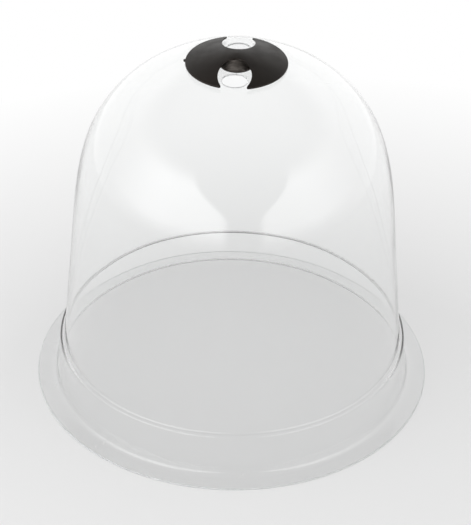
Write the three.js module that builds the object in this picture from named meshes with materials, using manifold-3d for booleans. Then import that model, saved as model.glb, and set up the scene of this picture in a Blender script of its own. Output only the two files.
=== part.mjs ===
// A bell cloche: a clear plastic dome that stands over a young plant, with a
// turning vent shutter on its crown. Millimetres, +Z up. The origin is the
// centre of the ring that the dome stands on.

import * as THREE from 'three';
import { mergeVertices } from 'three/addons/utils/BufferGeometryUtils.js';
import Module from 'manifold-3d';

const wasm = await Module();
wasm.setup();

// The bell's wall, the same all over, and how finely round things are cut.
const wall = 1.3;
const bellSegments = 64;
const shutterSegments = 48;
const pinSegments = 32;
const pipSegments = 12;
const discRings = 12;
const curveSteps = { LineCurve: 1, QuadraticBezierCurve: 3, CubicBezierCurve: 10, EllipseCurve: 3 };

// Vertices closer than this are one, and a cutter reaches this far past what it cuts.
const weldDistance = 1e-4;
const cutterMargin = 5;

// The flange: a flat ring that rests on the soil, and the skirt above it.
const flangeRadius = 140;
const flangeEdgeChamfer = 0.4;
const flangeFlatRadius = 133;
const skirtBottom = { r: 126, z: 6 };
const skirtTop = { r: 123.2, z: 30.6 };

// The shoulder steps in from the skirt to the drafted wall.
const shoulderCorner = { r: 123, z: 32.4 };
const shoulderMiddle = { r: 121.6, z: 32.6 };
const shoulderRoot = { r: 120.3, z: 32.8 };
const wallBottom = { r: 119.9, z: 34.6 };
const wallTop = { r: 111.4, z: 133.3 };

// The crown: one Bezier curve from the wall, then an arc that levels out into
// the flat seat of the shutter.
const crownLowerHandle = 51.8;
const crownUpperHandle = 64.1;
const crownEnd = { r: 42, z: 248.4 };
const crownEndSlope = THREE.MathUtils.degToRad(23.9);
const seatHeight = 251.2;

// Holes through the seat: one for the pivot and one vent on each side of it.
const pivotHoleRadius = 3.6;
const ventHoleRadius = 8.6;
const ventHoleOffset = 20.6;

// The shutter: a thin domed disc with an oval notch, open to the rim, at the
// front and at the back. The two tips beside a notch are rounded off: a tip's
// curve starts at an angle on the oval and ends at an angle on the rim.
const clearance = 0.3;
const shutterRadius = 34.3;
const shutterWall = 1.3;
const shutterRimTop = 253.3;
const shutterRise = 7;
const shutterPower = 1.38;
const notch = { offset: 21.6, halfWidth: 11.2, halfLength: 15.3 };
const notchTipStart = THREE.MathUtils.degToRad(35);
const rimTipEnd = THREE.MathUtils.degToRad(72);
const rimPipRadius = 1.2;

// Under the disc: a hollow conical hub that stands on the seat and shows in the
// notches, and a socket for the rivet inside it.
const hubRimRadius = 11.7;
const hubRimHeight = 1.4;
const hubNeckRadius = 5;
const hubWall = 1.6;
const socketRadius = 5.4;
const socketBoreRadius = 3.4;
const socketBoreDepth = 3.8;

// The rivet: pushed up from inside the bell, through the seat, into the socket.
const rivetShankRadius = 3.1;
const rivetHeadRadius = 6.2;
const rivetHeadHeight = 1.5;
const rivetHeadRim = 0.6;
const rivetHeadShoulder = { r: 4.3, z: 0.25 };
const rivetTipTaper = 0.6;

const hubBottom = seatHeight + clearance;
const seatUnderside = seatHeight - wall;

// A list of (r, z) pairs as profile points.
const profile = (pairs) => pairs.map(([r, z]) => new THREE.Vector2(r, z));

// The points of a path, with as many steps on each curve as its kind needs.
function pointsAlong(path) {
  const rest = path.curves.flatMap((curve) => curve.getPoints(curveSteps[curve.type]).slice(1));
  return [path.curves[0].getPoint(0), ...rest];
}

// A profile turned once round the Z axis.
function revolve(points, segments) {
  const geometry = new THREE.LatheGeometry(points, segments);
  return geometry.rotateX(Math.PI / 2);
}

// A closed geometry as a solid for joining and cutting. Triangles that shrink
// to a line where a profile meets the axis are left out.
function solidOf(geometry) {
  const bare = geometry.clone();
  bare.deleteAttribute('normal');
  bare.deleteAttribute('uv');
  const merged = mergeVertices(bare, weldDistance);
  const index = merged.index.array;
  const kept = [];
  for (let i = 0; i < index.length; i += 3) {
    const [a, b, c] = [index[i], index[i + 1], index[i + 2]];
    if (a !== b && b !== c && c !== a) kept.push(a, b, c);
  }
  const mesh = new wasm.Mesh({
    numProp: 3,
    vertProperties: merged.attributes.position.array,
    triVerts: new Uint32Array(kept),
  });
  return new wasm.Manifold(mesh);
}

// A solid back as a geometry with flat-shaded faces.
function geometryOf(solid) {
  const mesh = solid.getMesh();
  const indexed = new THREE.BufferGeometry();
  indexed.setAttribute('position', new THREE.BufferAttribute(mesh.vertProperties, 3));
  indexed.setIndex(new THREE.BufferAttribute(mesh.triVerts, 1));
  const geometry = indexed.toNonIndexed();
  geometry.computeVertexNormals();
  return geometry;
}

function part(name, geometry, look) {
  const mesh = new THREE.Mesh(geometry, new THREE.MeshStandardMaterial(look));
  mesh.name = name;
  return mesh;
}

// An upright cylinder between two heights.
function uprightCylinder(radius, low, high, x, y, segments) {
  const geometry = new THREE.CylinderGeometry(radius, radius, high - low, segments);
  geometry.rotateX(Math.PI / 2);
  return geometry.translate(x, y, (low + high) / 2);
}

// One skin of the bell from the flange up to the pivot hole, moved inwards by
// inset: 0 for the outer skin, the wall thickness for the inner one.
function bellSkin(inset) {
  const flangeTop = wall - inset;
  const skirtSlope = (skirtBottom.r - skirtTop.r) / (skirtTop.z - skirtBottom.z);
  const filletCorner = skirtBottom.r + skirtSlope * (skirtBottom.z - flangeTop) - inset;
  const skin = new THREE.Path();
  skin.moveTo(flangeRadius - flangeEdgeChamfer, flangeTop);
  skin.lineTo(flangeFlatRadius, flangeTop);
  skin.quadraticCurveTo(filletCorner, flangeTop, skirtBottom.r - inset, skirtBottom.z);
  const drop = inset / 2;
  skin.lineTo(skirtTop.r - inset, skirtTop.z - drop);
  skin.quadraticCurveTo(
    shoulderCorner.r - inset, shoulderCorner.z - drop,
    shoulderMiddle.r - inset, shoulderMiddle.z - drop,
  );
  skin.quadraticCurveTo(
    shoulderRoot.r - inset, shoulderRoot.z - drop,
    wallBottom.r - inset, wallBottom.z - drop,
  );
  skin.lineTo(wallTop.r - inset, wallTop.z);
  const draft = Math.atan2(wallBottom.r - wallTop.r, wallTop.z - wallBottom.z);
  const end = {
    r: crownEnd.r - inset * Math.sin(crownEndSlope),
    z: crownEnd.z - inset * Math.cos(crownEndSlope),
  };
  skin.bezierCurveTo(
    wallTop.r - inset - crownLowerHandle * Math.sin(draft),
    wallTop.z + crownLowerHandle * Math.cos(draft),
    end.r + crownUpperHandle * Math.cos(crownEndSlope),
    end.z - crownUpperHandle * Math.sin(crownEndSlope),
    end.r, end.z,
  );
  // The arc starts at the crown's slope and is level where it meets the seat.
  const arcRadius = (seatHeight - crownEnd.z) / (1 - Math.cos(crownEndSlope));
  const arcCentre = { r: crownEnd.r - arcRadius * Math.sin(crownEndSlope), z: seatHeight - arcRadius };
  skin.absarc(
    arcCentre.r, arcCentre.z, arcRadius - inset,
    Math.PI / 2 - crownEndSlope, Math.PI / 2, false,
  );
  skin.lineTo(pivotHoleRadius, seatHeight - inset);
  return pointsAlong(skin);
}

function bell() {
  const edge = profile([
    [flangeRadius, flangeEdgeChamfer],
    [flangeRadius, wall - flangeEdgeChamfer],
  ]);
  const outer = bellSkin(0);
  const inner = bellSkin(wall).reverse();
  const outline = [...edge, ...outer, ...inner, edge[0]];
  const shell = solidOf(revolve(outline, bellSegments));
  const [low, high] = [seatUnderside - cutterMargin, seatHeight + cutterMargin];
  const vents = [1, -1].map((side) =>
    solidOf(uprightCylinder(ventHoleRadius, low, high, 0, side * ventHoleOffset, pinSegments)),
  );
  const cut = shell.subtract(vents[0]).subtract(vents[1]);
  return part('bell', geometryOf(cut), {
    color: 0xe9eeee, roughness: 0.06, metalness: 0, transparent: true, opacity: 0.3,
  });
}

// Height of the disc's upper face at a radius: a shallow, nearly conical dome.
const shutterTop = (r) => shutterRimTop + shutterRise * (1 - (r / shutterRadius) ** shutterPower);

// The disc before it is cut to its outline, a little larger than that outline.
function domedDisc() {
  const overRadius = shutterRadius + clearance;
  const radii = Array.from({ length: discRings + 1 }, (_, i) => (overRadius * i) / discRings);
  const lower = radii.map((r) => [r, shutterTop(r) - shutterWall]);
  const upper = radii.map((r) => [r, shutterTop(r)]).reverse();
  return solidOf(revolve(profile([...lower, ...upper]), shutterSegments));
}

// Where a line through p along u meets a line through q along v.
function crossing(p, u, q, v) {
  const along = ((q.x - p.x) * v.y - (q.y - p.y) * v.x) / (u.x * v.y - u.y * v.x);
  return { x: p.x + along * u.x, y: p.y + along * u.y };
}

// The disc's outline: for each half a wing's rim, a tip, a notch and a tip.
function shutterOutline() {
  const onNotch = {
    x: notch.halfWidth * Math.cos(notchTipStart),
    y: notch.offset + notch.halfLength * Math.sin(notchTipStart),
  };
  const alongNotch = {
    x: -notch.halfWidth * Math.sin(notchTipStart),
    y: notch.halfLength * Math.cos(notchTipStart),
  };
  const onRim = { x: shutterRadius * Math.cos(rimTipEnd), y: shutterRadius * Math.sin(rimTipEnd) };
  const alongRim = { x: -onRim.y, y: onRim.x };
  const tip = crossing(onNotch, alongNotch, onRim, alongRim);
  const outline = new THREE.Shape();
  for (const side of [1, -1]) {
    const turn = side === 1 ? 0 : Math.PI;
    outline.absarc(0, 0, shutterRadius, turn - rimTipEnd, turn + rimTipEnd, false);
    outline.quadraticCurveTo(side * tip.x, side * tip.y, side * onNotch.x, side * onNotch.y);
    outline.absellipse(
      0, side * notch.offset, notch.halfWidth, notch.halfLength,
      turn + notchTipStart, turn + Math.PI - notchTipStart, true, 0,
    );
    outline.quadraticCurveTo(-side * tip.x, side * tip.y, -side * onRim.x, side * onRim.y);
  }
  return outline;
}

// The hub and the rivet's socket, as one turned piece. Its neck reaches half
// way into the disc's thickness.
function shutterHub() {
  const insideDisc = (r) => shutterTop(r) - shutterWall / 2;
  const rimTop = hubBottom + hubRimHeight;
  const slope = (insideDisc(hubNeckRadius) - rimTop) / (hubRimRadius - hubNeckRadius);
  const inner = hubRimRadius - hubWall;
  const drop = hubWall * Math.hypot(1, slope);
  const underCone = (r) => rimTop + slope * (hubRimRadius - r) - drop;
  const roof = [1, 0.5, 0].map((share) => {
    const r = share * hubNeckRadius;
    return [r, insideDisc(r)];
  });
  return solidOf(revolve(profile([
    [0, hubBottom + socketBoreDepth],
    [socketBoreRadius, hubBottom + socketBoreDepth],
    [socketBoreRadius, hubBottom],
    [socketRadius, hubBottom],
    [socketRadius, underCone(socketRadius)],
    [inner, underCone(inner)],
    [inner, hubBottom],
    [hubRimRadius, hubBottom],
    [hubRimRadius, rimTop],
    ...roof,
  ]), shutterSegments));
}

function ventShutter() {
  const cutter = new THREE.ExtrudeGeometry(shutterOutline(), {
    depth: 4 * cutterMargin, bevelEnabled: false, curveSegments: 12,
  });
  cutter.translate(0, 0, hubBottom - cutterMargin);
  const disc = domedDisc().intersect(solidOf(cutter));
  const pip = uprightCylinder(
    rimPipRadius, shutterRimTop - shutterWall, shutterRimTop, -shutterRadius, 0, pipSegments,
  );
  const joined = disc.add(shutterHub()).add(solidOf(pip));
  return part('vent_shutter', geometryOf(joined), {
    color: 0x3c3835, roughness: 0.45, metalness: 0,
  });
}

function pivotRivet() {
  const headTop = seatUnderside - clearance;
  const headBottom = headTop - rivetHeadHeight;
  const tip = hubBottom + socketBoreDepth - clearance;
  const points = profile([
    [0, headBottom],
    [rivetHeadShoulder.r, headBottom + rivetHeadShoulder.z],
    [rivetHeadRadius, headTop - rivetHeadRim],
    [rivetHeadRadius, headTop],
    [rivetShankRadius, headTop],
    [rivetShankRadius, tip - rivetTipTaper],
    [rivetShankRadius - rivetTipTaper, tip],
    [0, tip],
  ]);
  return part('pivot_rivet', revolve(points, pinSegments), {
    color: 0x35322f, roughness: 0.5, metalness: 0,
  });
}

const cloche = new THREE.Group();
cloche.add(bell(), ventShutter(), pivotRivet());

export default cloche;
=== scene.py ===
# %% [markdown]
# # A bell cloche, finished in Blender
#
# The object is a clear plastic bell that stands over a young plant. It has a flat flange to rest
# on and a dark, turning vent shutter on its crown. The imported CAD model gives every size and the
# one joint. This script loads it as a fixed frame, and makes the smooth surfaces and the finishes
# that a faceted model can't have.

# %% Load the frame
import math

import bmesh
import bpy
import numpy as np
from mathutils import Matrix, Vector


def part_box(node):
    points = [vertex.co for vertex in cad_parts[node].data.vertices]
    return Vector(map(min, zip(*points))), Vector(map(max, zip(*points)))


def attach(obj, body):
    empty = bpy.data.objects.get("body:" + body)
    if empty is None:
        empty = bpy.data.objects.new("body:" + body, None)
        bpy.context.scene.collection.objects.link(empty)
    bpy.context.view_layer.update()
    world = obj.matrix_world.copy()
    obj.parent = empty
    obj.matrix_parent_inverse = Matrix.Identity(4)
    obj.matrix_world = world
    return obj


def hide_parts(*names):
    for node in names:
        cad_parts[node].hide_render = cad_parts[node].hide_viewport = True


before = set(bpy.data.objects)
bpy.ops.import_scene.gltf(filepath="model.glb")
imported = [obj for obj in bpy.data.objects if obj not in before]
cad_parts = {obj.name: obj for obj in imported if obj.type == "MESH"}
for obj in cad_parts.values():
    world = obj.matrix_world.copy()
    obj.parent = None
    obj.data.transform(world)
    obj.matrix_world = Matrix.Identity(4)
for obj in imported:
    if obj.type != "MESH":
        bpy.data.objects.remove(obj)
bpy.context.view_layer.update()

# %% [markdown]
# ## Sizes
#
# The CAD node's own boxes give the radii and heights that the finished pieces have to keep. The
# few values that a box can't tell, such as the fillet under the skirt, are the same driving
# dimensions as in the CAD source, here in metres.

# %% Driving dimensions, in metres
MM = 0.001
bell_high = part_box("bell")[1]
shutter_low, shutter_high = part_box("vent_shutter")
rivet_low, rivet_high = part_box("pivot_rivet")

flange_radius = bell_high.x
seat_height = bell_high.z
shutter_radius = shutter_high.x
shutter_top = shutter_high.z
print(f"flange {2 * flange_radius:.3f} m across, seat {seat_height:.4f} m up")
print(f"shutter {2 * shutter_radius:.4f} m across, top {shutter_top:.4f} m up")

wall = 1.3 * MM
clearance = 0.3 * MM

# %% [markdown]
# ## Helpers for surfaces
#
# Every new piece is a grid of points: one parameter runs along a profile, the other round the
# piece. The grid's neighbours make the faces, so a whole piece is a few numpy lines. A profile
# turned round the axis is the natural way to make a moulded bell, because the mould itself was
# turned on a lathe.

# %% Mesh from a grid of points
def grid_faces(rows, columns, wrap_rows, wrap_columns):
    """Quads of a rows x columns grid: (i, j), (i, j+1), (i+1, j+1), (i+1, j), with wrap where asked."""
    i = np.arange(rows if wrap_rows else rows - 1)
    j = np.arange(columns if wrap_columns else columns - 1)
    i, j = (a.ravel() for a in np.meshgrid(i, j, indexing="ij"))
    up, right = (i + 1) % rows, (j + 1) % columns
    corners = [i * columns + j, i * columns + right, up * columns + right, up * columns + j]
    return np.stack(corners, axis=1)


def piece_from(name, points, faces, weld=1e-7):
    """A mesh object at the origin. Points closer than weld become one, so poles and seams close."""
    mesh = bpy.data.meshes.new(name)
    mesh.from_pydata(points.tolist(), [], faces.tolist())
    work = bmesh.new()
    work.from_mesh(mesh)
    bmesh.ops.remove_doubles(work, verts=work.verts, dist=weld)
    bmesh.ops.dissolve_degenerate(work, edges=work.edges, dist=weld)
    bmesh.ops.recalc_face_normals(work, faces=work.faces)
    work.to_mesh(mesh)
    work.free()
    piece = bpy.data.objects.new(name, mesh)
    bpy.context.scene.collection.objects.link(piece)
    return piece


def turned(name, profile, segments, closed=True):
    """A profile of (r, z) points turned round Z: P(i, a) = (r_i cos a, r_i sin a, z_i)."""
    angle = np.linspace(0, 2 * np.pi, segments, endpoint=False)
    r, z = profile[:, :1], profile[:, 1:]
    points = np.stack([r * np.cos(angle), r * np.sin(angle), z + 0 * angle], axis=-1)
    faces = grid_faces(len(profile), segments, closed, True)
    return piece_from(name, points.reshape(-1, 3), faces)


def smooth(piece, crease_degrees):
    """Smooth shading, except across edges that turn by more than the crease angle."""
    mesh = piece.data
    mesh.shade_smooth()
    mesh.set_sharp_from_angle(angle=math.radians(crease_degrees))
    triangles = sum(len(p.vertices) - 2 for p in mesh.polygons)
    print(f"{piece.name}: {triangles} triangles")


def combined(piece, other, operation):
    """piece cut by or joined with the closed mesh other, which is then removed."""
    step = piece.modifiers.new("combine", "BOOLEAN")
    step.operation = operation
    step.solver = "EXACT"
    step.object = other
    graph = bpy.context.evaluated_depsgraph_get()
    result = bpy.data.meshes.new_from_object(piece.evaluated_get(graph))
    piece.modifiers.clear()
    piece.data = result
    bpy.data.objects.remove(other)


# %% [markdown]
# ## The bell's profile
#
# A bell like this is formed from one sheet, so its two skins run side by side. The outline
# starts at the flange's edge, turns up through a fillet into the short skirt, steps in at the
# shoulder, follows the drafted wall and closes over the crown in one long curve, which levels
# out into the flat seat of the shutter. Each stretch is its own formula: a line, a quadratic or
# cubic Bezier curve, or an arc.

# %% Curves that make a profile
def line(a, b, steps):
    """Points from a to b, without a: P(t) = a + t (b - a)."""
    t = np.linspace(0, 1, steps + 1)[1:, None]
    return np.array(a) + t * (np.array(b) - np.array(a))


def bezier(points, steps):
    """A Bezier curve by repeated halfway points (de Casteljau), without its first point."""
    t = np.linspace(0, 1, steps + 1)[1:, None]
    level = [np.array(p, float) for p in points]
    while len(level) > 1:
        level = [(1 - t) * a + t * b for a, b in zip(level[:-1], level[1:])]
    return level[0]


def arc(centre, radius, start, end, steps):
    """P(a) = centre + radius (cos a, sin a), a in degrees, without its first point."""
    a = np.radians(np.linspace(start, end, steps + 1)[1:, None])
    return np.array(centre) + radius * np.hstack([np.cos(a), np.sin(a)])


# %% One skin of the bell
flange_flat = 133 * MM
flange_round = 0.6 * MM
skirt_bottom = np.array([126, 6]) * MM
skirt_top = np.array([123.2, 30.6]) * MM
shoulder = np.array([[123, 32.4], [121.6, 32.6], [120.3, 32.8]]) * MM
wall_bottom = np.array([119.9, 34.6]) * MM
wall_top = np.array([111.4, 133.3]) * MM
crown_end = np.array([42, 248.4]) * MM
crown_slope = math.radians(23.9)
crown_handles = 51.8 * MM, 64.1 * MM
pivot_hole = 3.6 * MM


def bell_skin(inset):
    """One skin from the flange to the pivot hole: P - inset * n, with n sloped down at the step."""
    inwards, inwards_down = np.array([-inset, 0]), np.array([-inset, -inset / 2])
    flange_top = wall - inset
    skirt_foot, skirt_head = skirt_bottom + inwards, skirt_top + inwards_down
    step_edge, step_flat, step_heel = shoulder + inwards_down
    wall_foot = wall_bottom + inwards_down
    lean = (skirt_bottom[0] - skirt_top[0]) / (skirt_top[1] - skirt_bottom[1])
    fillet = [skirt_bottom[0] + lean * (skirt_bottom[1] - flange_top) - inset, flange_top]
    draft = math.atan2(wall_bottom[0] - wall_top[0], wall_top[1] - wall_bottom[1])
    along_wall = np.array([-math.sin(draft), math.cos(draft)])
    along_crown = np.array([math.cos(crown_slope), -math.sin(crown_slope)])
    across_crown = np.array([math.sin(crown_slope), math.cos(crown_slope)])
    start = wall_top + inwards
    end = crown_end - inset * across_crown
    rising, levelling = start + crown_handles[0] * along_wall, end + crown_handles[1] * along_crown
    level_radius = (seat_height - crown_end[1]) / (1 - math.cos(crown_slope))
    level_centre = [crown_end[0] - level_radius * across_crown[0], seat_height - level_radius]
    return np.vstack([
        line([flange_radius - flange_round, flange_top], [flange_flat, flange_top], 6),
        bezier([[flange_flat, flange_top], fillet, skirt_foot], 10),
        line(skirt_foot, skirt_head, 8),
        bezier([skirt_head, step_edge, step_flat], 6),
        bezier([step_flat, step_heel, wall_foot], 6),
        line(wall_foot, start, 24),
        bezier([start, rising, levelling, end], 72),
        arc(level_centre, level_radius - inset, 90 - math.degrees(crown_slope), 90, 10),
        line([level_centre[0], seat_height - inset], [pivot_hole, seat_height - inset], 8),
    ])


outer_skin, inner_skin = bell_skin(0), bell_skin(wall)
print("bell profile:", len(outer_skin) + len(inner_skin), "points")

# %% [markdown]
# ## The bell
#
# The flange's edge is rounded, as a trimmed sheet's is once its burr is off, and the whole
# outline is turned round the axis. The two vent holes go through the flat seat under the
# shutter. They are cut with a waisted cutter, so that their edges come out rounded too.

# %% Turn the bell and cut its vents
BELL_SEGMENTS = 240
flange_edge = np.vstack([
    arc([flange_radius - flange_round, flange_round], flange_round, -90, 0, 4),
    arc([flange_radius - flange_round, wall - flange_round], flange_round, 0, 90, 4),
])
bell_outline = np.vstack([flange_edge, outer_skin, inner_skin[::-1]])
bell = turned("bell_clear", bell_outline, BELL_SEGMENTS)

vent_radius = 8.6 * MM
vent_offset = 20.6 * MM
vent_flare = 0.25 * MM
cutter_reach = 2 * MM
VENT_SEGMENTS, CUTTER_STEPS = 72, 33
STEEPEST = 0.99


def vent_cutter(side):
    """A cutter with a waist: r(z) = vent radius + flare, the flare growing near the seat's faces."""
    z = np.linspace(seat_height - wall - cutter_reach, seat_height + cutter_reach, CUTTER_STEPS)
    inside = np.clip((wall / 2 - abs(z - (seat_height - wall / 2))) / vent_flare, 0, 1)
    r = vent_radius + vent_flare * (1 - np.sqrt(1 - (1 - inside) ** 2 * STEEPEST))
    profile = np.column_stack([r, z])
    profile = np.vstack([[0, z[0]], profile, [0, z[-1]]])
    cutter = turned("vent_cutter", profile, VENT_SEGMENTS, closed=False)
    cutter.data.transform(Matrix.Translation((0, side * vent_offset, 0)))
    return cutter


for side in (1, -1):
    combined(bell, vent_cutter(side), "DIFFERENCE")
smooth(bell, 35)

# %% [markdown]
# ## The vent shutter
#
# The shutter is one dark moulding: a thin domed disc with an oval notch at the front and at the
# back, over a conical hub. Its outline is made of a few curves: the rim, a rounded tip, and the
# notch. The disc could be cut from a turned dome with booleans, but then its edge would be sharp.
# So the surface is carried from a straight spine along the middle out to the outline, and over
# a rounded lip: every line of the grid runs from a spine point to an outline point.

# %% A quarter of the shutter's outline
notch_offset, notch_width, notch_length = 21.6 * MM, 11.2 * MM, 15.3 * MM
notch_tip, rim_tip = math.radians(35), math.radians(72)
shutter_wall = 1.3 * MM


def crossing(p, u, q, v):
    """Where the line through p along u meets the line through q along v."""
    return p + u * np.cross(q - p, v) / np.cross(u, v)


def quarter_outline():
    """Notch, tip and rim: the outline from +Y to +X, with a spine x in mm for each of its points."""
    a = np.linspace(-math.pi / 2, notch_tip, 56)
    notch = np.column_stack([notch_width * np.cos(a), notch_offset + notch_length * np.sin(a)])
    along_notch = np.array([-notch_width * math.sin(notch_tip), notch_length * math.cos(notch_tip)])
    on_rim = shutter_radius * np.array([math.cos(rim_tip), math.sin(rim_tip)])
    along_rim = np.array([-on_rim[1], on_rim[0]])
    corner = crossing(notch[-1], along_notch, on_rim, along_rim)
    tip = bezier([notch[-1], corner, on_rim], 18)
    b = np.linspace(rim_tip, 0, 48)[1:]
    rim = shutter_radius * np.column_stack([np.cos(b), np.sin(b)])
    spine = np.concatenate([
        np.interp(np.degrees(a), [-90, -60, -30, 0, 20, 35], [0, 7.5, 11, 14.5, 19.5, 26.5]),
        np.linspace(26.5, 28, len(tip) + 1)[1:],
        np.linspace(28, 30, len(rim) + 1)[1:],
    ])
    return np.vstack([notch, tip, rim]), spine * MM


def mirrored_loop(quarter, spine):
    """The four quarters in one closed loop, clockwise from above, and the spine x of each point."""
    back = slice(-2, None, -1)
    half = np.vstack([quarter, quarter[back] * [1, -1]])
    half_spine = np.concatenate([spine, spine[back]])
    loop = np.vstack([half, -half[1:-1]])
    return loop, np.concatenate([half_spine, -half_spine[1:-1]])


outline, spine_x = mirrored_loop(*quarter_outline())
travel = np.roll(outline, -1, axis=0) - np.roll(outline, 1, axis=0)
travel /= np.linalg.norm(travel, axis=1, keepdims=True)
outward = np.column_stack([-travel[:, 1], travel[:, 0]])
print("shutter outline:", len(outline), "points")

# %% [markdown]
# ## The disc over the outline
#
# The disc's height falls from the middle to the rim by a power of the radius, a little more than
# a cone and a little less than a ball. The lip is a quarter circle carried along the outline,
# above and below, so light runs along it as it does on a real moulded edge.

# %% The disc's surface
rim_top = 253.3 * MM
rise = shutter_top - rim_top
DOME_POWER = 1.38
lip = 0.45 * MM
DISC_ROWS, LIP_ROWS = 26, 6


def disc_top(x, y):
    """z = rim top + rise (1 - (r / R) ^ power)."""
    return rim_top + rise * (1 - (np.hypot(x, y) / shutter_radius) ** DOME_POWER)


def disc_points():
    """Rows from the spine over the top, round the lip and back under to the spine."""
    spine = np.column_stack([spine_x, 0 * spine_x])
    rows = []
    for v in np.linspace(0, 1, DISC_ROWS):
        xy = (1 - v) * spine + v * (outline - lip * outward)
        rows.append(np.column_stack([xy, disc_top(*xy.T)]))
    for turn in np.linspace(0, math.pi / 2, LIP_ROWS + 1)[1:]:
        xy = outline - lip * (1 - math.sin(turn)) * outward
        rows.append(np.column_stack([xy, disc_top(*xy.T) - lip * (1 - math.cos(turn))]))
    upper = np.array(rows)
    lower = upper.copy()
    middle = disc_top(lower[..., 0], lower[..., 1]) - shutter_wall / 2
    lower[..., 2] = 2 * middle - upper[..., 2]
    return np.concatenate([upper, lower[::-1]])


points = disc_points()
faces = grid_faces(len(points), len(outline), False, True)
shutter = piece_from("vent_shutter_moulding", points.reshape(-1, 3), faces)
print("disc:", len(shutter.data.polygons), "faces")

# %% [markdown]
# ## The hub, the socket and the pip
#
# Under the disc a hollow cone stands on the seat. It is what shows inside the notches. Its socket
# takes the rivet. The hub and the small pip on the rim are turned pieces, and they are joined to
# the disc, because the real shutter is one moulding.

# %% Join the hub and the pip to the disc
hub_bottom = shutter_low.z
hub_rim, hub_rim_height, hub_neck, hub_wall = 11.7 * MM, 1.4 * MM, 5 * MM, 1.6 * MM
socket_outer, socket_bore, socket_depth = 5.4 * MM, 3.4 * MM, 3.8 * MM
hub_round = 0.35 * MM
HUB_SEGMENTS, PIP_SEGMENTS = 144, 32


def hub_profile():
    """The hub's closed outline: bore, socket, hollow, foot, cone, and a roof inside the disc."""
    def inside_disc(r):
        return float(disc_top(r, 0)) - shutter_wall / 2

    def under_cone(r):
        return rim_z + slope * (hub_rim - r) - drop

    rim_z = hub_bottom + hub_rim_height
    slope = (inside_disc(hub_neck) - rim_z) / (hub_rim - hub_neck)
    inner, drop = hub_rim - hub_wall, hub_wall * math.hypot(1, slope)
    foot = [hub_rim - hub_round, hub_bottom + hub_round]
    brow = np.array([hub_rim, rim_z])
    up_cone = np.array([-1, slope]) * 2 * hub_round
    r = np.linspace(hub_neck, 0, 5)
    return np.vstack([
        [[0, hub_bottom + socket_depth], [socket_bore, hub_bottom + socket_depth]],
        [[socket_bore, hub_bottom], [socket_outer, hub_bottom]],
        [[socket_outer, under_cone(socket_outer)], [inner, under_cone(inner)], [inner, hub_bottom]],
        [[foot[0], hub_bottom]],
        arc(foot, hub_round, -90, 0, 4),
        [brow - [0, 2 * hub_round]],
        bezier([brow - [0, 2 * hub_round], brow, brow + up_cone], 5),
        np.column_stack([r, [inside_disc(x) for x in r]]),
    ])


hub = turned("hub", hub_profile(), HUB_SEGMENTS, closed=False)
pip_radius, pip_flat, pip_bevel = 1.2 * MM, 1.0 * MM, 0.25 * MM
pip_bottom = rim_top - shutter_wall
pip_outline = np.array([
    [0, pip_bottom], [pip_flat, pip_bottom], [pip_radius, pip_bottom + pip_bevel],
    [pip_radius, rim_top - pip_bevel], [pip_flat, rim_top], [0, rim_top],
])
pip = turned("pip", pip_outline, PIP_SEGMENTS, closed=False)
pip.data.transform(Matrix.Translation((-shutter_radius, 0, 0)))
for extra in (hub, pip):
    combined(shutter, extra, "UNION")
smooth(shutter, 35)

# %% [markdown]
# ## The rivet
#
# A snap rivet holds the shutter. Its head lies under the crown, inside the bell, and is seen
# through the clear wall. The head is a low dome with a rounded rim, and the shank has a lead-in
# at its tip.

# %% Turn the rivet
shank_radius = 3.1 * MM
head_radius = rivet_high.x
head_top = seat_height - wall - clearance
HEAD_FLATNESS = 0.62
RIVET_SEGMENTS = 96


def rivet_profile():
    """The closed outline: head dome, rounded rim, flat under the crown, shank, lead-in."""
    rim, lead_in, tip_round = 0.35 * MM, 0.7 * MM, 0.9 * MM
    low, tip = rivet_low.z, rivet_high.z
    head_edge = [head_radius, head_top - 2.4 * rim]
    fillet = [shank_radius + rim, head_top]
    shank_end = [shank_radius, tip - lead_in]
    return np.vstack([
        [[0, low]],
        bezier([[0, low], [HEAD_FLATNESS * head_radius, low], head_edge], 10),
        bezier([head_edge, [head_radius, head_top], [head_radius - rim, head_top]], 4),
        [fillet],
        bezier([fillet, [shank_radius, head_top], [shank_radius, head_top + rim]], 4),
        [shank_end],
        bezier([shank_end, [shank_radius, tip], [shank_radius - tip_round, tip]], 5),
        [[0, tip]],
    ])


rivet = turned("snap_rivet", rivet_profile(), RIVET_SEGMENTS, closed=False)
smooth(rivet, 40)

# %% [markdown]
# ## Materials: a small kit
#
# Each finish is a Principled shader. A value that is the same all over the piece is set on the
# shader's own socket. What varies, such as roughness or a fine relief, comes from noise on
# Object coordinates, which are metres here, so a scale of 1000 is one cell a millimetre.

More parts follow.
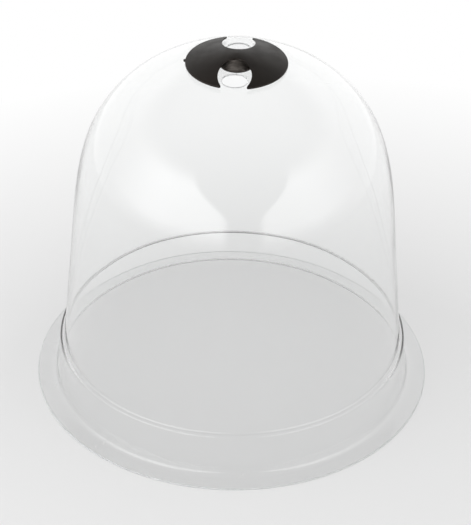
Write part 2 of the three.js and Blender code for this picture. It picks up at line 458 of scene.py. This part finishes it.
# %% Node helpers
class Finish:
    """A material under construction: nodes are added by name and linked as they are made."""

    def __init__(self, name, **constants):
        self.material = bpy.data.materials.new(name)
        self.material.use_nodes = True
        self.tree = self.material.node_tree
        self.shader = self.tree.nodes["Principled BSDF"]
        for socket, value in constants.items():
            self.shader.inputs[socket.replace("_", " ")].default_value = value
        self.place = self.add("ShaderNodeTexCoord").outputs["Object"]

    def add(self, kind, **settings):
        node = self.tree.nodes.new(kind)
        for name, value in settings.items():
            setattr(node, name, value)
        return node

    def link(self, value, socket):
        """Sets a socket to a number, or joins it to another node's output."""
        if isinstance(value, bpy.types.NodeSocket):
            self.tree.links.new(value, socket)
        else:
            socket.default_value = value

    def noise(self, scale, detail=2.0, stretch=(1, 1, 1)):
        """Noise of about that many cells a metre, stretched by the given scale on each axis."""
        mapping = self.add("ShaderNodeMapping")
        mapping.inputs["Scale"].default_value = stretch
        self.link(self.place, mapping.inputs["Vector"])
        texture = self.add("ShaderNodeTexNoise")
        self.link(mapping.outputs["Vector"], texture.inputs["Vector"])
        self.link(scale, texture.inputs["Scale"])
        self.link(detail, texture.inputs["Detail"])
        return texture.outputs["Fac"]

    def ramp(self, value, low, high, to_low=0.0, to_high=1.0, kind="SMOOTHSTEP"):
        """A step from low..high to to_low..to_high, smooth unless it is asked to be LINEAR."""
        step = self.add("ShaderNodeMapRange", interpolation_type=kind)
        for number, part in zip((value, low, high, to_low, to_high), step.inputs):
            self.link(number, part)
        return step.outputs["Result"]

    def math(self, operation, a, b=0.0):
        node = self.add("ShaderNodeMath", operation=operation)
        self.link(a, node.inputs[0])
        self.link(b, node.inputs[1])
        return node.outputs[0]

    def mix(self, share, a, b):
        """A colour between a and b."""
        node = self.add("ShaderNodeMix", data_type="RGBA")
        self.link(share, node.inputs["Factor"])
        for colour, socket in ((a, node.inputs[6]), (b, node.inputs[7])):
            self.link(colour, socket)
        return node.outputs[2]

    def axis(self, name):
        split = self.add("ShaderNodeSeparateXYZ")
        self.link(self.place, split.inputs[0])
        return split.outputs[name]

    def relief(self, height, distance, normal=None):
        """A bump whose full height is distance, in metres."""
        bump = self.add("ShaderNodeBump")
        self.link(height, bump.inputs["Height"])
        self.link(distance, bump.inputs["Distance"])
        if normal is not None:
            self.link(normal, bump.inputs["Normal"])
        return bump.outputs["Normal"]

    def give(self, piece):
        piece.data.materials.clear()
        piece.data.materials.append(self.material)


# %% [markdown]
# ## The clear wall
#
# The bell is clear sheet, drawn into a mould. Real glass physics suits it: light that is bent
# and mirrored at both skins makes the soft panels and the grey edges by itself. A formed sheet
# is never quite flat, so a very low swell bends the reflections a little, with faint vertical
# draw lines. The parts that get handled or set down, the flange and the shoulder, are rubbed,
# so they spread the light a little.

# %% Clear plastic
HAZE, WORN, RUB_MARKS = (0.015, 0.035), 0.15, 0.10
SWELL_HEIGHT, DRAW_HEIGHT = 0.12 * MM, 0.006 * MM


def clear_plastic():
    look = Finish("clear_plastic", Transmission_Weight=1.0, IOR=1.49, Specular_IOR_Level=0.5)
    height = look.axis("Z")
    on_flange = look.ramp(height, 0.012, 0.003)
    rubbed = look.ramp(look.noise(260, 4, (1, 1, 0.4)), 0.55, 0.72)
    rub = look.math("MULTIPLY", on_flange, rubbed)
    haze = look.ramp(look.noise(30, 3), 0.35, 0.75, *HAZE)
    above, below = look.ramp(height, 0.027, 0.031), look.ramp(height, 0.039, 0.034)
    on_shoulder = look.math("MULTIPLY", above, below)
    worn = look.math("MULTIPLY", look.math("ADD", on_flange, on_shoulder), WORN)
    rub_marks = look.math("MULTIPLY", rub, RUB_MARKS)
    roughness = look.math("ADD", look.math("ADD", haze, worn), rub_marks)
    look.link(roughness, look.shader.inputs["Roughness"])
    tint = look.mix(look.noise(9, 2), (0.995, 0.998, 0.997, 1), (0.985, 0.99, 0.989, 1))
    look.link(tint, look.shader.inputs["Base Color"])
    swell = look.relief(look.noise(22, 1, (1, 1, 0.6)), SWELL_HEIGHT)
    draw = look.relief(look.noise(240, 2, (1, 1, 0.05)), DRAW_HEIGHT, swell)
    look.link(draw, look.shader.inputs["Normal"])
    return look


clear_plastic().give(bell)

# %% [markdown]
# ## The trimmed edges
#
# The flange's rim and the two vents are cut after forming. A cut edge of clear sheet isn't
# clear: fine saw and punch marks frost it. Its tone is partly painted light and shade: the rim's
# edge is painted mid grey, as painted shade, and the vents' edges are painted near white, as
# painted light. It is a second finish on the same piece, given to the cut faces only.

# %% Frosted cut edges, painted darker on the rim and paler in the vents
def trimmed_edge():
    look = Finish("trimmed_edge", IOR=1.49, Transmission_Weight=0.3)
    marks = look.ramp(look.noise(900, 3, (1, 1, 0.3)), 0.3, 0.7)
    # The rim's mid grey is painted shade and the vents' near white is painted light, over the frost.
    sawn_edge_painted_shade = look.mix(marks, (0.42, 0.43, 0.43, 1), (0.58, 0.59, 0.59, 1))
    punched_edge_painted_light = look.mix(marks, (0.90, 0.91, 0.91, 1), (0.97, 0.97, 0.97, 1))
    on_vent = look.ramp(look.axis("Z"), 0.1, 0.2)
    look.link(look.mix(on_vent, sawn_edge_painted_shade, punched_edge_painted_light), look.shader.inputs["Base Color"])
    look.link(look.ramp(marks, 0.0, 1.0, 0.4, 0.65), look.shader.inputs["Roughness"])
    look.link(look.relief(marks, 0.00003), look.shader.inputs["Normal"])
    return look


def face_centres(mesh):
    """x, y and z of the middle of every face, as three arrays."""
    centres = np.empty(3 * len(mesh.polygons))
    mesh.polygons.foreach_get("center", centres)
    return centres.reshape(-1, 3).T


def give_faces(piece, material, chosen):
    """A second material, for the faces where chosen is true."""
    piece.data.materials.append(material)
    piece.data.polygons.foreach_set("material_index", chosen.astype(np.int32))


x, y, z = face_centres(bell.data)
on_rim = np.hypot(x, y) > flange_radius - 0.9 * flange_round
in_vent = np.hypot(x, abs(y) - vent_offset) < vent_radius + 0.96 * vent_flare
in_vent &= z > seat_height - 2 * wall
give_faces(bell, trimmed_edge().material, on_rim | in_vent)
print("cut faces:", int(on_rim.sum()), "on the rim,", int(in_vent.sum()), "in the vents")

# %% [markdown]
# ## The dark plastic
#
# The shutter is a charcoal-brown moulding with a satin face. Its mould was spark-eroded, which
# leaves a fine grain of a few tenths of a millimetre, and the resin's flow leaves soft streaks
# and a dark speckle. The hub's cone is the same moulding, but its faces get a second finish:
# they are painted paler, as painted light on the cone's lit front, and finely mottled, as
# painted highlights.

# %% Satin moulded plastic
RIPPLE_HEIGHT = 0.04 * MM


def satin_plastic(name, dark, pale, grain_depth, streak_scale=70):
    look = Finish(name, IOR=1.5, Specular_IOR_Level=0.2, Specular_Tint=(1.0, 0.93, 0.86, 1))
    streak = look.noise(streak_scale, 3, (0.35, 1, 1))
    colour = look.mix(look.ramp(streak, 0.3, 0.75), dark, pale)
    speck = look.ramp(look.noise(1800, 2), 0.35, 0.65)
    speckled = look.mix(look.math("MULTIPLY", speck, 0.25), colour, dark)
    look.link(speckled, look.shader.inputs["Base Color"])
    roughness = look.ramp(look.noise(120, 3), 0.3, 0.7, 0.36, 0.46)
    look.link(roughness, look.shader.inputs["Roughness"])
    grain = look.relief(look.noise(3200, 3), grain_depth)
    ripple = look.relief(look.noise(110, 1), RIPPLE_HEIGHT, grain)
    look.link(ripple, look.shader.inputs["Normal"])
    return look


shutter_satin = satin_plastic(
    "shutter_satin", (0.0050, 0.0036, 0.0028, 1), (0.010, 0.0076, 0.0062, 1), 0.02 * MM)
# The hub's finish is painted paler and finely mottled: painted light and painted highlights.
hub_painted_light = satin_plastic(
    "hub_painted_light", (0.018, 0.015, 0.013, 1), (0.10, 0.09, 0.082, 1), 0.03 * MM, streak_scale=330)
rivet_satin = satin_plastic(
    "rivet_satin", (0.014, 0.013, 0.012, 1), (0.024, 0.022, 0.02, 1), 0.01 * MM)
shutter_satin.give(shutter)
rivet_satin.give(rivet)

# %% The hub's painted light and painted highlights
x, y, z = face_centres(shutter.data)
r = np.hypot(x, y)
just_clear = 0.1 * MM
painted_hub_faces = (r < hub_rim + just_clear) & (z < disc_top(r, 0) - shutter_wall - just_clear)
# The hub's faces get the painted paler, mottled finish in place of the disc's own.
give_faces(shutter, hub_painted_light.material, painted_hub_faces)
print("hub faces:", int(painted_hub_faces.sum()))

# %% [markdown]
# ## Riding on the bodies
#
# The bell stays put, and the shutter and its rivet turn together. Each finished piece stands for
# its faceted CAD node, which is hidden. The table lists a material slot for each, which is not used.

# %% Bodies, nodes and slots
for piece, body, node, slot in (
    (bell, "cover", "bell", "clear_plastic"),
    (shutter, "shutter", "vent_shutter", "shutter_plastic"),
    (rivet, "shutter", "pivot_rivet", "rivet_plastic"),
):
    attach(piece, body)
    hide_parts(node)

# %% [markdown]
# ## The floor
#
# A clear object shows what is around it, so the stage matters as much as the material. The floor
# is a wide pale sheet on a light table, plain under and around the bell. Most of its tone is its
# own glow, and the rest is light from the tent, which leaves a soft shade round the flange.
# Further out it glows up to full white, sooner behind the bell than in front of it, and then
# fades into the backdrop, so there is no horizon at any height of the camera.

# %% White sheet
STAGE_SEGMENTS = 96
FLOOR_REACH, FLOOR_GAP = 6.0, 0.3 * MM
floor_radius = np.concatenate([[0], np.geomspace(0.05, FLOOR_REACH, 24)])
floor_profile = np.column_stack([floor_radius, np.full_like(floor_radius, -FLOOR_GAP)])
floor = turned("floor", floor_profile[::-1], STAGE_SEGMENTS, closed=False)
FLOOR_ALBEDO, NEAR_GLOW, BACKDROP = 0.20, 0.52, 0.86
NEAR_SHEET, FAR_SHEET = 0.18, 0.60
LEAN_LEFT, LEAN_BACK = 0.15, 0.45
FADE_START, FADE_END = 0.8, 2.2


def white_sheet():
    look = Finish("white_sheet", Roughness=0.9, Specular_IOR_Level=0.0)
    x, y = look.axis("X"), look.axis("Y")
    squares = look.math("ADD", look.math("POWER", x, 2.0), look.math("POWER", y, 2.0))
    radius = look.math("SQRT", squares)
    leaning = look.math("SUBTRACT", radius, look.math("MULTIPLY", x, LEAN_LEFT))
    leaning = look.math("ADD", leaning, look.math("MULTIPLY", y, LEAN_BACK))
    far = look.ramp(leaning, NEAR_SHEET, FAR_SHEET, kind="LINEAR")
    albedo = look.math("MULTIPLY", look.math("SUBTRACT", 1.0, far), FLOOR_ALBEDO)
    look.link(albedo, look.shader.inputs["Base Color"])
    look.shader.inputs["Emission Color"].default_value = (1, 1, 1, 1)
    level = look.ramp(radius, FADE_START, FADE_END, 1.0 - NEAR_GLOW, BACKDROP - NEAR_GLOW)
    glow = look.math("ADD", NEAR_GLOW, look.math("MULTIPLY", far, level))
    look.link(glow, look.shader.inputs["Emission Strength"])
    return look


white_sheet().give(floor)

# %% [markdown]
# ## The light tent
#
# Soft white light comes from a round tent. It glows most in two wide panels, to the left and to
# the right of the camera, with a narrow gap between them for the lens: they make the two pale
# shapes on the dome. The top is duller, so the dark shutter stays dark. Only light and
# reflections see the tent: the camera, and what is seen through the bell, look past it to an
# even backdrop, against which both the pale shapes and the grey edges of the bell show.

# %% Tent and sky
TENT_RADIUS = 0.95
GAP_LEFT, GAP_RIGHT = -4.0, 17.0
LEFT_PANEL, RIGHT_PANEL, GAP_GLOW, BACK_GLOW = 4.4, 3.5, 0.8, 1.4
FRONT_TOP, BACK_TOP = 0.8, 0.35
PANEL_HALF, PANEL_END, BACK_START = 52.0, 105.0, 60.0
LEAN_LOW, LEAN_HIGH, LEAN_ANGLE = 0.30, 0.80, 30.0
TOP_START, TOP_FULL = 0.62, 0.82
FOOT_HEIGHT, FOOT_GLOW = 0.22, 0.15
camera_azimuth = math.radians(3.1)
rise_angle = np.radians(np.linspace(0, 90, 24))
tent_profile = TENT_RADIUS * np.column_stack([np.cos(rise_angle), np.sin(rise_angle)])
tent = turned("tent", tent_profile, STAGE_SEGMENTS, closed=False)


def tent_glow():
    look = Finish("tent_glow", Roughness=1.0, Specular_IOR_Level=0.0)
    azimuth = look.math("ARCTAN2", look.axis("X"), look.math("MULTIPLY", look.axis("Y"), -1.0))
    degrees = look.math("MULTIPLY", azimuth, 180 / math.pi)
    turn = look.math("SUBTRACT", degrees, math.degrees(camera_azimuth))
    away = look.math("ABSOLUTE", turn)
    fade = look.ramp(away, PANEL_END, PANEL_HALF)
    height = look.math("DIVIDE", look.axis("Z"), TENT_RADIUS)
    lean = look.ramp(height, LEAN_LOW, LEAN_HIGH, 0.0, LEAN_ANGLE)
    left = look.ramp(look.math("ADD", turn, lean), GAP_LEFT + 2, GAP_LEFT - 5)
    right = look.ramp(look.math("SUBTRACT", turn, lean), GAP_RIGHT - 2, GAP_RIGHT + 5)
    foot = look.math("MULTIPLY", fade, look.ramp(height, 0.0, FOOT_HEIGHT, FOOT_GLOW, 1.0))
    left, right = look.math("MULTIPLY", left, foot), look.math("MULTIPLY", right, foot)
    back = look.ramp(away, BACK_START, PANEL_END)
    low = look.math("ADD", look.math("MULTIPLY", left, LEFT_PANEL - GAP_GLOW), GAP_GLOW)
    low = look.math("ADD", low, look.math("MULTIPLY", right, RIGHT_PANEL - GAP_GLOW))
    low = look.math("ADD", low, look.math("MULTIPLY", back, BACK_GLOW - GAP_GLOW))
    above = look.ramp(height, TOP_START, TOP_FULL)
    front_edge, back_edge = -0.1 * TENT_RADIUS, 0.4 * TENT_RADIUS
    high = look.ramp(look.axis("Y"), front_edge, back_edge, FRONT_TOP, BACK_TOP)
    difference = look.math("MULTIPLY", above, look.math("SUBTRACT", high, low))
    look.shader.inputs["Base Color"].default_value = (0, 0, 0, 1)
    look.shader.inputs["Emission Color"].default_value = (1, 1, 1, 1)
    look.link(look.math("ADD", low, difference), look.shader.inputs["Emission Strength"])
    return look


tent_glow().give(tent)
tent.visible_camera = False
tent.visible_transmission = False

sky = bpy.data.worlds.new("white_sky")
sky.use_nodes = True
sky.node_tree.nodes["Background"].inputs["Color"].default_value = (1, 1, 1, 1)
sky.node_tree.nodes["Background"].inputs["Strength"].default_value = BACKDROP
bpy.context.scene.world = sky
bpy.context.scene.view_settings.view_transform = "Standard"
bpy.context.scene.view_settings.look = "None"

# %% [markdown]
# ## The camera
#
# A long lens looks down at the bell from a good metre and a half. It is turned a few degrees round
# the bell's axis and rolled by nearly one degree, as a hand-held camera is. It looks a little
# beside the point that it is placed round, by two small angles.

# %% Camera
CAMERA_DISTANCE, AIM_HEIGHT = 1.6313, 0.112
CAMERA_ELEVATION, CAMERA_ROLL = math.radians(34.675), math.radians(0.95)
LOOK_RIGHT, LOOK_UP = math.radians(-0.04171), math.radians(0.62686)
LENS, SENSOR = 160.13, 36.0


def camera_at(azimuth):
    """A camera on a circle round the axis: it faces the aim point, then turns by the small angles."""
    back = Vector((
        math.sin(azimuth) * math.cos(CAMERA_ELEVATION),
        -math.cos(azimuth) * math.cos(CAMERA_ELEVATION),
        math.sin(CAMERA_ELEVATION),
    ))
    place = Vector((0, 0, AIM_HEIGHT)) + CAMERA_DISTANCE * back
    facing = back.to_track_quat("Z", "Y").to_matrix().to_4x4()
    offset = Matrix.Rotation(LOOK_RIGHT, 4, "Y") @ Matrix.Rotation(-LOOK_UP, 4, "X")
    roll = Matrix.Rotation(CAMERA_ROLL, 4, "Z")
    data = bpy.data.cameras.new("camera")
    data.lens, data.sensor_width, data.sensor_fit = LENS, SENSOR, "AUTO"
    camera = bpy.data.objects.new("camera", data)
    camera.matrix_world = Matrix.Translation(place) @ facing @ roll @ offset
    bpy.context.scene.collection.objects.link(camera)
    bpy.context.scene.camera = camera
    return camera


camera = camera_at(camera_azimuth)
print("camera at", [round(c, 3) for c in camera.location])
